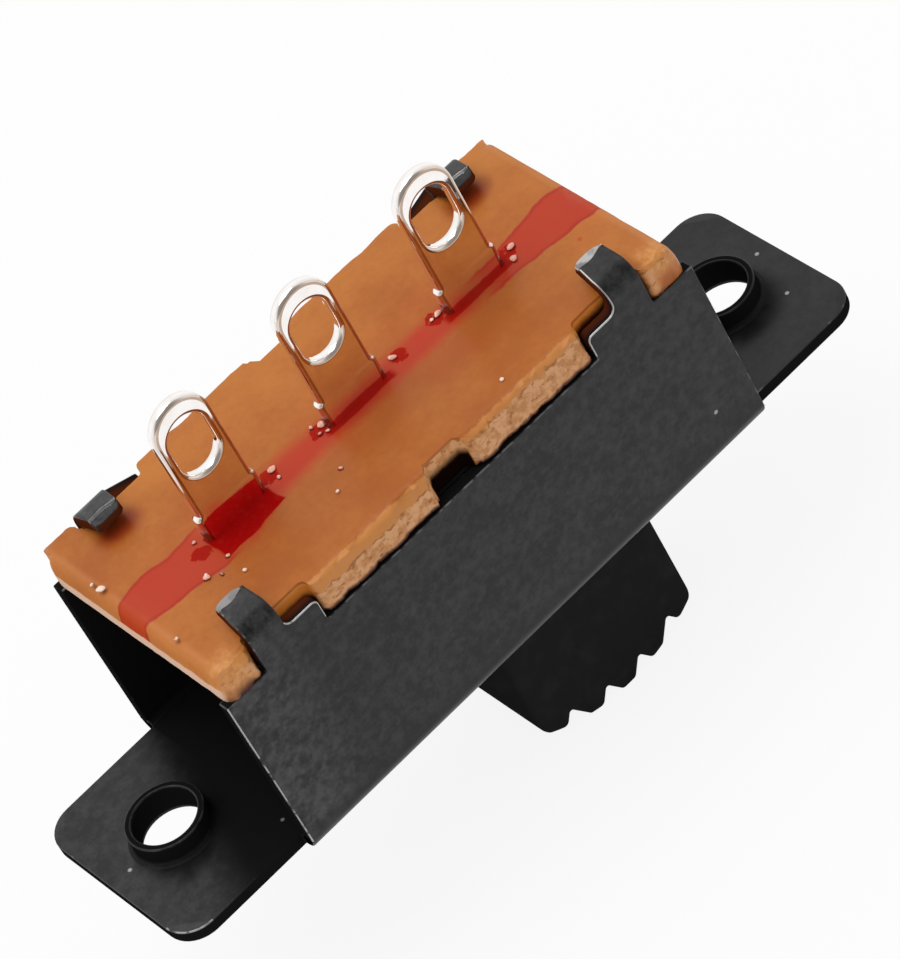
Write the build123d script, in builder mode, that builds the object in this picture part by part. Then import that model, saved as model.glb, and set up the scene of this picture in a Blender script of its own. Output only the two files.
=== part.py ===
from build123d import *
import os
from math import sqrt

os.makedirs("parts", exist_ok=True)

# All lengths are millimetres. The mounting face (the outside of the face plate) is z = 0, the
# terminals point to +Z, the knob to -Z, and the slider runs along X.

# Frame: one blank of black sheet steel, folded into a channel with a mounting ear at each end
sheet_thickness = 0.55
frame_length = 23.2
frame_width = 10.7
fold_inside_radius = 0.2
seat_height = 8.35
seat_recess = 0.15
ear_overall_length = 34.6
ear_setback = 0.025
ear_corner_radius = 1.3

# Extruded screw holes in the ears
hole_end_margin = 3.05
hole_diameter = 2.6
collar_wall = 0.28
collar_height = 0.88
collar_root_radius = 0.2
collar_entry_radius = 0.3

# Clinched tabs that hold the board down, one near each end of each wall
tab_inner_x = 8.2
tab_width = 1.45
tab_bend_radius = 0.3
tab_bend_angle = 75
tab_drop = 0.1
tab_straight = 1.2
tab_tip_bevel = 0.3
shoulder_length = 1.45
shoulder_rise = 0.95
shoulder_radius = 0.25

# Terminal board: phenolic paper laminate
board_length = 22.8
board_thickness = 1.5
board_corner_radius = 0.4
notch_clearance = 0.1
notch_corner_radius = 0.25
middle_notch_width = 2.2
middle_notch_depth = 0.6

# Terminals: stamped solder lugs above the board, knife blades below it
terminal_pitch = 6.0
terminal_thickness = 0.55
terminal_slot_clearance = 0.02
stem_width = 2.85
stem_rise = 1.2
stem_shoulder_radius = 0.1
tail_width = 2.55
tail_rise = 6.15
eye_width = 1.7
eye_height = 2.65
eye_top_margin = 0.85
stamped_edge_radius = 0.07
foot_width = 3.6
foot_drop = 0.7
blade_width = 2.8
blade_drop = 3.95
blade_corner_radius = 0.5

# Slider: one black moulding of knob, carriage and two rails
travel = 5.1
running_clearance = 0.05
side_clearance = 0.15
rail_top_clearance = 0.15
carriage_end_clearance = 0.92
carriage_thickness = 2.2
carriage_corner_radius = 0.6
rail_width = 1.05
rail_setback = 3.0
rail_corner_radius = 0.35
knob_length = 7.8
knob_width = 6.2
knob_reach = 7.4
knob_crown = 1.2
knob_end_radius = 0.6
knob_edge_radius = 0.3
slot_side_clearance = 0.1
stop_clearance = 0.05
groove_count = 4
groove_pitch = 1.7
groove_width = 1.0
groove_depth = 0.75
groove_radius = 0.12
rib_radius = 0.22

# Moving contact: a bronze strip folded into a clip that bridges two neighbouring blades
strip_thickness = 0.25
clip_length = 6.4
clip_base_width = 2.8
clip_bend_radius = 0.45
clip_flare_height = 1.1
clip_flare = 0.5
clip_head_clearance = 0.35
contact_clearance = 0.05
pocket_depth = 0.8
pocket_clearance = 0.05

# Cuts run this far past the faces that they open
overrun = 1.0

# Levels and places that follow from the sizes above
fold_outside_radius = fold_inside_radius + sheet_thickness
shoulder_height = seat_height + shoulder_rise
board_top = seat_height + board_thickness
hole_spacing = ear_overall_length - 2 * hole_end_margin
collar_rim = sheet_thickness + collar_height
collar_reach = hole_diameter / 2 + collar_wall + collar_root_radius
channel_width = frame_width - 2 * sheet_thickness
ear_width = frame_width - 2 * (fold_outside_radius + ear_setback)
tab_center_x = tab_inner_x + tab_width / 2
tab_outer_x = tab_inner_x + tab_width
shoulder_inner_x = tab_inner_x - shoulder_length
slider_rest_x = travel / 2
carriage_floor = sheet_thickness + running_clearance
carriage_top = carriage_floor + carriage_thickness
carriage_length = hole_spacing - 2 * collar_reach - travel - 2 * carriage_end_clearance
carriage_width = channel_width - 2 * side_clearance
rail_length = carriage_length - 2 * rail_setback
pocket_floor = carriage_top - pocket_depth
foot_bottom = seat_height - foot_drop
clip_top = foot_bottom - clip_head_clearance
clip_throat = clip_top - clip_flare_height


# Frame: channel section, then the outline of the wall tops, ears, slot, holes and tabs
with BuildPart() as frame:
    with BuildSketch(Plane.YZ) as channel_section:
        with Locations((0, shoulder_height / 2)):
            Rectangle(frame_width, shoulder_height)
        with Locations((0, sheet_thickness)):
            Rectangle(channel_width, shoulder_height, align=(Align.CENTER, Align.MIN), mode=Mode.SUBTRACT)
        fillet(channel_section.vertices().group_by(Axis.Y)[1], fold_inside_radius)
        fillet(channel_section.vertices().group_by(Axis.Y)[0], fold_outside_radius)
    extrude(amount=frame_length / 2, both=True)

    # The walls stand up as shoulders only where the board is notched
    with BuildSketch(Plane.XZ) as wall_tops:
        with Locations((0, seat_height - seat_recess)):
            Rectangle(2 * shoulder_inner_x, shoulder_height, align=(Align.CENTER, Align.MIN))
        for end_x, end_align in ((tab_outer_x, Align.MIN), (-tab_outer_x, Align.MAX)):
            with Locations((end_x, seat_height)):
                Rectangle(frame_length, shoulder_height, align=(end_align, Align.MIN))
    extrude(amount=frame_width / 2 + overrun, both=True, mode=Mode.SUBTRACT)

    with BuildSketch(Plane.XY) as ears:
        Rectangle(ear_overall_length, ear_width)
        fillet(ears.vertices(), ear_corner_radius)
    extrude(amount=sheet_thickness)

    with BuildSketch(Plane.XY.offset(sheet_thickness)):
        with GridLocations(hole_spacing, 0, 2, 1):
            Circle(hole_diameter / 2 + collar_wall)
    extrude(amount=collar_height)
    with BuildSketch(Plane.XY.offset(-overrun)):
        with GridLocations(hole_spacing, 0, 2, 1):
            Circle(hole_diameter / 2)
    extrude(amount=collar_rim + 2 * overrun, mode=Mode.SUBTRACT)
    hole_rings = frame.edges().filter_by(lambda edge: edge.is_closed).group_by(Axis.Z)
    fillet(hole_rings[0], collar_entry_radius)
    fillet(frame.edges().filter_by(lambda edge: edge.is_closed).group_by(Axis.Z)[1:3], collar_root_radius)

    with BuildSketch(Plane.XY.offset(-overrun)) as knob_slot:
        Rectangle(knob_length + travel + 2 * stop_clearance, knob_width + 2 * slot_side_clearance)
        fillet(knob_slot.vertices(), knob_edge_radius)
    extrude(amount=sheet_thickness + 2 * overrun, mode=Mode.SUBTRACT)

    with BuildSketch(Plane.YZ.offset(tab_center_x), Plane.YZ.offset(-tab_center_x)):
        with BuildLine() as tab_path:
            root = Line(
                ((sheet_thickness - frame_width) / 2, seat_height),
                ((sheet_thickness - frame_width) / 2, board_top - tab_drop),
            )
            bend = JernArc(root @ 1, root % 1, tab_bend_radius + sheet_thickness / 2, -tab_bend_angle)
            Line(bend @ 1, bend @ 1 + (bend % 1) * tab_straight)
            mirror(about=Plane.YZ)
        trace(line_width=sheet_thickness)
    extrude(amount=tab_width / 2, both=True)
    chamfer(frame.edges().filter_by(Axis.X).group_by(Axis.Z)[-1], tab_tip_bevel)
    fillet(frame.edges().filter_by(Axis.Y).group_by(Axis.Z)[-1], shoulder_radius)
frame.part.label = "frame"
export_step(frame.part, "parts/frame.step")


# Board: outline with four tab notches, two middle notches and a slot for each terminal
with BuildPart() as terminal_board:
    with BuildSketch(Plane.XY.offset(seat_height)) as board_outline:
        Rectangle(board_length, frame_width)
        fillet(board_outline.vertices(), board_corner_radius)
        notch_center_x = (shoulder_inner_x + tab_outer_x) / 2
        notch_length = tab_outer_x - shoulder_inner_x + 2 * notch_clearance
        notch_depth = sheet_thickness + notch_clearance
        with GridLocations(2 * notch_center_x, frame_width, 2, 2):
            RectangleRounded(notch_length, 2 * notch_depth, notch_corner_radius, mode=Mode.SUBTRACT)
        with GridLocations(0, frame_width, 1, 2):
            Ellipse(middle_notch_width / 2, middle_notch_depth, mode=Mode.SUBTRACT)
        with GridLocations(terminal_pitch, 0, 3, 1):
            Rectangle(
                stem_width + 2 * terminal_slot_clearance,
                terminal_thickness + 2 * terminal_slot_clearance,
                mode=Mode.SUBTRACT,
            )
    extrude(amount=board_thickness)
terminal_board.part.label = "terminal_board"
export_step(terminal_board.part, "parts/terminal_board.step")


# Terminals: eyed solder tail and shouldered stem above the board, foot and blade below it
for terminal_index, terminal_name in enumerate(("terminal_left", "terminal_centre", "terminal_right")):
    terminal_x = (terminal_index - 1) * terminal_pitch
    with BuildPart() as terminal:
        with BuildSketch(Plane((terminal_x, 0, 0), x_dir=(1, 0, 0), z_dir=(0, -1, 0))) as lug:
            with Locations((0, board_top + tail_rise - tail_width / 2)):
                Circle(tail_width / 2)
            with Locations((0, board_top)):
                Rectangle(tail_width, tail_rise - tail_width / 2, align=(Align.CENTER, Align.MIN))
            with Locations((0, foot_bottom)):
                Rectangle(stem_width, board_top + stem_rise - foot_bottom, align=(Align.CENTER, Align.MIN))
            fillet(
                lug.vertices().group_by(Axis.X)[0].sort_by(Axis.Y)[-1:]
                + lug.vertices().group_by(Axis.X)[-1].sort_by(Axis.Y)[-1:],
                stem_shoulder_radius,
            )
            with Locations((0, foot_bottom)):
                Rectangle(foot_width, foot_drop, align=(Align.CENTER, Align.MIN))
            with Locations((0, seat_height - blade_drop)):
                Rectangle(blade_width, blade_drop, align=(Align.CENTER, Align.MIN))
            fillet(lug.vertices().group_by(Axis.Y)[0], blade_corner_radius)
            with Locations((0, board_top + tail_rise - eye_top_margin - eye_height / 2)):
                SlotOverall(eye_height, eye_width, rotation=90, mode=Mode.SUBTRACT)
        extrude(amount=terminal_thickness / 2, both=True)
        tail_edges = terminal.edges().filter_by(Plane.XZ).filter_by(GeomType.CIRCLE)
        fillet(tail_edges.filter_by(lambda edge: edge.radius > blade_corner_radius), stamped_edge_radius)
    terminal.part.label = terminal_name
    export_step(terminal.part, f"parts/{terminal_name}.step")


# Slider: ribbed knob through the slot, then the carriage and rails inside the channel
with BuildPart() as slider:
    with BuildSketch(Plane((slider_rest_x, 0, carriage_floor))):
        RectangleRounded(knob_length, knob_width, knob_edge_radius)
    extrude(amount=-carriage_floor - knob_reach)

    # The knob's end is crowned along X and cut by V grooves that follow the crown
    with BuildSketch(Plane((slider_rest_x, 0, 0), x_dir=(1, 0, 0), z_dir=(0, -1, 0))) as knob_profile:
        knob_side = knob_crown - knob_reach
        crown_radius = ((knob_length / 2) ** 2 + knob_crown**2) / (2 * knob_crown)
        with BuildLine():
            knob_top = Line((-knob_length / 2, carriage_top), (knob_length / 2, carriage_top))
            knob_right = Line(knob_top @ 1, (knob_length / 2, knob_side))
            knob_left = Line(knob_top @ 0, (-knob_length / 2, knob_side))
            ThreePointArc(knob_left @ 1, (0, -knob_reach), knob_right @ 1)
        make_face()
        fillet(knob_profile.vertices().group_by(Axis.Y)[0], knob_end_radius)
        for groove_index in range(groove_count):
            groove_x = (groove_index - (groove_count - 1) / 2) * groove_pitch
            groove_level = crown_radius - knob_reach - sqrt(crown_radius**2 - groove_x**2)
            with BuildLine():
                FilletPolyline(
                    (groove_x - groove_width, groove_level - groove_depth),
                    (groove_x, groove_level + groove_depth),
                    (groove_x + groove_width, groove_level - groove_depth),
                    radius=groove_radius,
                    close=True,
                )
            make_face(mode=Mode.SUBTRACT)
        # Shrinking and growing the profile again rounds every rib's crest
        offset(amount=-rib_radius, kind=Kind.INTERSECTION)
        offset(amount=rib_radius, kind=Kind.ARC)
    extrude(amount=knob_width, both=True, mode=Mode.INTERSECT)

    with BuildSketch(Plane((slider_rest_x, 0, carriage_floor))) as carriage:
        RectangleRounded(carriage_length, carriage_width, carriage_corner_radius)
    extrude(amount=carriage_thickness)
    with BuildSketch(Plane((slider_rest_x, 0, carriage_top))):
        with GridLocations(0, carriage_width - rail_width, 1, 2):
            RectangleRounded(rail_length, rail_width, rail_corner_radius)
    extrude(amount=seat_height - rail_top_clearance - carriage_top)
    with BuildSketch(Plane((slider_rest_x, 0, pocket_floor))):
        Rectangle(clip_length + 2 * pocket_clearance, clip_base_width + 2 * pocket_clearance)
    extrude(amount=pocket_depth + overrun, mode=Mode.SUBTRACT)
slider.part.label = "slider"
export_step(slider.part, "parts/slider.step")


# Moving contact: sprung jaws that lean in to a throat on the blades and flare out above it
with BuildPart() as moving_contact:
    with BuildSketch(Plane((slider_rest_x, 0, 0), x_dir=(0, 1, 0), z_dir=(1, 0, 0))):
        with BuildLine():
            throat_y = terminal_thickness / 2 + contact_clearance + strip_thickness / 2
            base_y = (clip_base_width - strip_thickness) / 2
            base_z = pocket_floor + strip_thickness / 2
            FilletPolyline(
                (-throat_y - clip_flare, clip_top),
                (-throat_y, clip_throat),
                (-base_y, base_z),
                (base_y, base_z),
                (throat_y, clip_throat),
                (throat_y + clip_flare, clip_top),
                radius=clip_bend_radius,
            )
        trace(line_width=strip_thickness)
    extrude(amount=clip_length / 2, both=True)
moving_contact.part.label = "moving_contact"
export_step(moving_contact.part, "parts/moving_contact.step")
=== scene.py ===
from math import cos, pi, radians, sin

import bmesh
import bpy
from mathutils import Matrix, Vector, noise


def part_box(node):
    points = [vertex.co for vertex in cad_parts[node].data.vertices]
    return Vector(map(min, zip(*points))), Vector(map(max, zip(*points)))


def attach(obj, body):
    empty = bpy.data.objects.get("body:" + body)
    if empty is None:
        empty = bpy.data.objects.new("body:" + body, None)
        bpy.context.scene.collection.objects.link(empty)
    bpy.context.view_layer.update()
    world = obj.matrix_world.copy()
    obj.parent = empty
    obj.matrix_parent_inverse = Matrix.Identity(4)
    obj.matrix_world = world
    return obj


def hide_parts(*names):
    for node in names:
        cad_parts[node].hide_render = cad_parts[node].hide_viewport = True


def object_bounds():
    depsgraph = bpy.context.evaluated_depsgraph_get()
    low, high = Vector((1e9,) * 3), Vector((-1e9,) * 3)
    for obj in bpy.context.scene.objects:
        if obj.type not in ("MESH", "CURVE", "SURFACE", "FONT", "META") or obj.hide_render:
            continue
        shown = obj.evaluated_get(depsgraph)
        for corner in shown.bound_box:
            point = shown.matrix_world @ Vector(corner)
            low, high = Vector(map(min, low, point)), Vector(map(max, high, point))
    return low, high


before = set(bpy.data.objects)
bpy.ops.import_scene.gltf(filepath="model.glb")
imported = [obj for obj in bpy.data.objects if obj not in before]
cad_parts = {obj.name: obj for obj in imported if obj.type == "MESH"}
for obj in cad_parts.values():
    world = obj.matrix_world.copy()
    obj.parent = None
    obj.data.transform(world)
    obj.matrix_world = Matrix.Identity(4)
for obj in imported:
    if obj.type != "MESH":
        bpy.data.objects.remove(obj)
cadBox = [list(corner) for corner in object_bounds()]

mm = 0.001  # pieces are modelled in millimetres and shrunk to metres at the end


def boxInMm(node):
    low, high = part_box(node)
    return low / mm, high / mm


class Wire:
    # a socket that can stand in a sum

    def __init__(self, finish, socket):
        self.finish = finish
        self.socket = socket

    def maths(self, operation, first, second):
        return self.finish.add("ShaderNodeMath", {"operation": operation}, {0: first, 1: second})

    def __add__(self, other):
        return self.maths("ADD", self, other)

    def __radd__(self, other):
        return self.maths("ADD", other, self)

    def __sub__(self, other):
        return self.maths("SUBTRACT", self, other)

    def __rsub__(self, other):
        return self.maths("SUBTRACT", other, self)

    def __mul__(self, other):
        return self.maths("MULTIPLY", self, other)

    def __rmul__(self, other):
        return self.maths("MULTIPLY", other, self)

    def __truediv__(self, other):
        return self.maths("DIVIDE", self, other)

    def __abs__(self):
        return self.maths("ABSOLUTE", self, 0.0)

    def atLeast(self, other):
        return self.maths("MAXIMUM", self, other)

    def atMost(self, other):
        return self.maths("MINIMUM", self, other)


class Finish:
    # the nodes of one material, or of the world, with the pattern laid out in millimetres

    def __init__(self, name, store=bpy.data.materials):
        self.material = store.new(name)
        self.material.use_nodes = True
        self.tree = self.material.node_tree
        self.shader = self.tree.nodes.get("Principled BSDF") or self.tree.nodes["Background"]
        self.place = self.add(
            "ShaderNodeVectorMath", {"operation": "SCALE"},
            {"Vector": self.add("ShaderNodeTexCoord", {}, {}, "Object"), "Scale": 1 / mm},
        )

    def add(self, kind, settings, values, output=0):
        node = self.tree.nodes.new(kind)
        for key, value in settings.items():
            setattr(node, key, value)
        for key, value in values.items():
            self.feed(node.inputs[key], value)
        return Wire(self, node.outputs[output])

    def feed(self, socket, value):
        if isinstance(value, Wire):
            self.tree.links.new(value.socket, socket)
        else:
            socket.default_value = value

    def surface(self, values):
        for key, value in values.items():
            self.feed(self.shader.inputs[key], value)

    def cover(self, share, shader):  # lays another shader over this one
        under = Wire(self, self.shader.outputs[0])
        both = self.add("ShaderNodeMixShader", {}, {0: share, 1: under, 2: shader})
        self.feed(self.tree.nodes["Material Output"].inputs["Surface"], both)

    def flat(self, colour):  # a shader without gloss
        return self.add("ShaderNodeBsdfPrincipled", {}, {
            "Base Color": colour, "Roughness": 0.7, "Specular IOR Level": 0.0,
        })

    def axes(self):
        node = self.add("ShaderNodeSeparateXYZ", {}, {"Vector": self.place}).socket.node
        return [Wire(self, output) for output in node.outputs]

    def grain(self, scale, detail=2.0, rough=0.5, shift=(0.0, 0.0, 0.0), stretch=(1.0, 1.0, 1.0)):
        where = self.add("ShaderNodeMapping", {}, {"Vector": self.place, "Location": shift, "Scale": stretch})
        return self.add("ShaderNodeTexNoise", {}, {
            "Vector": where, "Scale": scale, "Detail": detail, "Roughness": rough,
        }, "Fac")

    def specks(self, scale, size, shift=(0.0, 0.0, 0.0)):
        where = self.add("ShaderNodeMapping", {}, {"Vector": self.place, "Location": shift})
        away = self.add("ShaderNodeTexVoronoi", {}, {"Vector": where, "Scale": scale}, "Distance")
        return self.rise(away, size, size * 0.5)

    def spot(self, point, size):  # a soft dot round one point
        away = self.add("ShaderNodeVectorMath", {"operation": "DISTANCE"}, {0: self.place, 1: point}, "Value")
        return self.rise(away, size, size * 0.5)

    def fromAxis(self, across, along):  # the distance from an upright axis
        flat = self.add("ShaderNodeCombineXYZ", {}, {0: across, 1: along, 2: 0.0})
        return self.add("ShaderNodeVectorMath", {"operation": "LENGTH"}, {0: flat}, "Value")

    def rise(self, value, low, high):  # 0 below low, 1 above high, smooth between
        return self.add(
            "ShaderNodeMapRange", {"interpolation_type": "SMOOTHSTEP"},
            {"Value": value, "From Min": low, "From Max": high},
        )

    def mix(self, share, first, second):
        return self.add("ShaderNodeMix", {"data_type": "RGBA"}, {0: share, 6: first, 7: second}, 2)

    def flag(self, name):
        return self.add("ShaderNodeAttribute", {"attribute_name": name}, {}, "Fac")

    def bump(self, height, strength, distance):
        return self.add(
            "ShaderNodeBump", {}, {"Height": height, "Strength": strength, "Distance": distance * mm}
        )


def grey(level):
    return (level, level, level, 1.0)


# Black paint on the steel sheet; dull and dark where the sheet was sheared (matte cut edges, partly painted
# shade) and deep in the channel (painted shade)
steelLook = {
    "paint": (0.003, 0.003, 0.0033, 1.0),
    "thinPaint": (0.066, 0.066, 0.067, 1.0),
    # painted shade and matte cut edges: the colour of the dull faces
    "dullAndShaded": (0.0095, 0.009, 0.009, 1.0),
    # painted reflection of the orange board
    "boardReflection": (0.085, 0.019, 0.006, 1.0),  # sheared steel that faces the board
    "bare": (0.50, 0.49, 0.48, 1.0),
    "struck": (0.24, 0.23, 0.225, 1.0),
    # painted highlight on the struck tips
    "struckHighlight": (0.50, 0.49, 0.48, 1.0),
    "roughness": 0.38,
    "gloss": 0.32,
    "chips": [
        (16.65, 0.56, 0.55), (15.89, -1.98, 0.55), (-16.39, 0.06, 0.55), (-11.57, -3.42, 0.55),
        (9.77, -5.35, 2.12),
    ],
    "chipSize": 0.11,
    # painted shade on the ears round the collars and towards the left mouth of the channel
    "collarShade": (2.3, 1.3),  # where the dull ring round a collar begins, and is full
    "mouthShade": (-14.6, -12.1),  # the same on the left ear, towards the channel
}


def blackSteel():
    look = Finish("blackSteel")
    x, y, z = look.axes()
    cloudy = look.grain(0.7, 2.0, 0.5)
    fine = look.grain(2.4, 2.0, 0.55)
    breaks = look.grain(1.7, 2.0, 0.6)
    patchy = 0.4 + 0.6 * look.rise(x + 3.0 * (cloudy - 0.5), -7.5, -10.5)
    patchy = patchy * (0.4 + 0.6 * look.rise(z, 0.6, 1.6))
    thin = look.rise(0.3 * cloudy + 0.5 * fine + 0.2 * look.grain(7.0, 2.0), 0.36, 0.68) * patchy
    colour = look.mix(thin, steelLook["paint"], steelLook["thinPaint"])

    # bare metal on rubbed edges, on the struck tips and in a few chips
    rubbed = look.flag("rubbed")
    bare = 0.9 * look.flag("edgeWear") * look.rise(breaks + 0.35 * rubbed, 0.62, 0.76)
    bare = bare * (0.25 + 0.75 * look.rise(rubbed, 0.5, 0.8))
    for chip in steelLook["chips"]:
        bare = bare.atLeast(0.7 * look.spot(chip, steelLook["chipSize"]))
    struck = look.flag("struck")
    # painted highlight: the lighter struck colour fills more of the dents on the right-hand tabs
    dentsAndHighlight = look.rise(look.grain(1.9, 2.0, 0.6, shift=(2.0, 0.0, 0.0)), 0.38, 0.62)
    dentsAndHighlight = dentsAndHighlight * (0.35 + 0.65 * look.rise(x, -1.0, 1.0))
    colour = look.mix(struck, colour, look.mix(dentsAndHighlight, steelLook["struck"], steelLook["struckHighlight"]))
    colour = look.mix(bare, colour, steelLook["bare"])
    look.surface({
        "Base Color": colour,
        "Metallic": 0.75 * bare.atLeast(struck),
        "Roughness": steelLook["roughness"] + 0.14 * (fine - 0.5) + 0.06 * (cloudy - 0.5),
        "Specular IOR Level": steelLook["gloss"],
        "Normal": look.bump(fine + 0.5 * look.grain(14.0, 2.0), 0.16, 0.03),
    })

    # painted shade: the ears are made dull and dark beside the collars and towards the channel's left mouth,
    # where shadow falls
    onEar = look.rise(z, 0.75, 0.6) * look.rise(abs(y), 4.7, 4.55)
    beside = look.fromAxis(abs(x) - sheet["holeAt"], y + 0.75)
    mouthShadeShare = look.rise(x - 0.32 * y + 0.6 * (cloudy - 0.5), *steelLook["mouthShade"]) * look.rise(x, 0.0, -1.0)
    shade = onEar * mouthShadeShare.atLeast(0.8 * look.rise(beside, *steelLook["collarShade"]))
    # painted reflection of the orange board in the sheared steel beside the notches; elsewhere the dull faces
    # take the painted shade colour
    notch = look.rise(z, sheet["seat"] + 0.1, sheet["seat"] + 0.5) * look.rise(abs(y), 5.3, 4.9)
    dullAndShadedColour = look.mix(notch, steelLook["dullAndShaded"], steelLook["boardReflection"])
    look.cover(look.flag("dull").atLeast(shade) * (1.0 - bare), look.flat(dullAndShadedColour))
    return look.material


# Paper laminate with its lacquer stripe
boardLook = {
    "tan": (0.57, 0.196, 0.036, 1.0),
    "deepTan": (0.40, 0.103, 0.016, 1.0),
    "rawLight": (0.72, 0.37, 0.175, 1.0),  # torn paper
    "rawMid": (0.54, 0.235, 0.085, 1.0),
    "pit": (0.30, 0.105, 0.030, 1.0),
    "rolledEdgeHighlight": (0.70, 0.30, 0.085, 1.0),  # painted highlight on the rolled top edge
    "corner": (0.74, 0.33, 0.10, 1.0),
    "cornerDark": (0.58, 0.225, 0.055, 1.0),
    "notch": (0.74, 0.235, 0.040, 1.0),
    # painted shade in the depths of the notches and along the foot of the sides
    "footShadowBrown": (0.06, 0.011, 0.004, 1.0),
    "notchShadowBlack": (0.006, 0.002, 0.0015, 1.0),
    # painted shade beside the right near tab and low on the near right corner
    "rightNearShade": (0.40, 0.105, 0.012, 1.0),
    # painted light: the rolled ends are paler, to look as lit as the top
    "endLitColour": (0.66, 0.27, 0.095, 1.0),
    "endCut": (0.80, 0.53, 0.39, 1.0),
    "endBand": 0.58,  # height of the pale cut at the ends
    # painted shadow under the far tabs
    "tabShadow": (0.24, 0.018, 0.005, 1.0),
    "tabShadowAt": (8.85, 3.6),
    "tabShadowSize": (1.2, 0.85),
    "lacquer": (0.50, 0.034, 0.010, 1.0),
    "rimLacquer": (0.40, 0.017, 0.007, 1.0),
    "thickLacquer": (0.37, 0.0035, 0.0035, 1.0),
    "stripeLow": -0.95,
    "stripeHigh": 0.55,
    "poolAt": (-6.0, -0.66),
    "poolEdges": ((1.55, 1.43), (0.84, 0.76)),
    "feetAt": -0.32,
    "blots": [(-7.9, -0.35), (-4.2, 0.15), (-1.75, 0.1), (2.3, 0.1), (4.2, 0.2), (7.8, 0.1)],
    "blotSize": 0.55,
    "roughness": 0.3,
}


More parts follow.
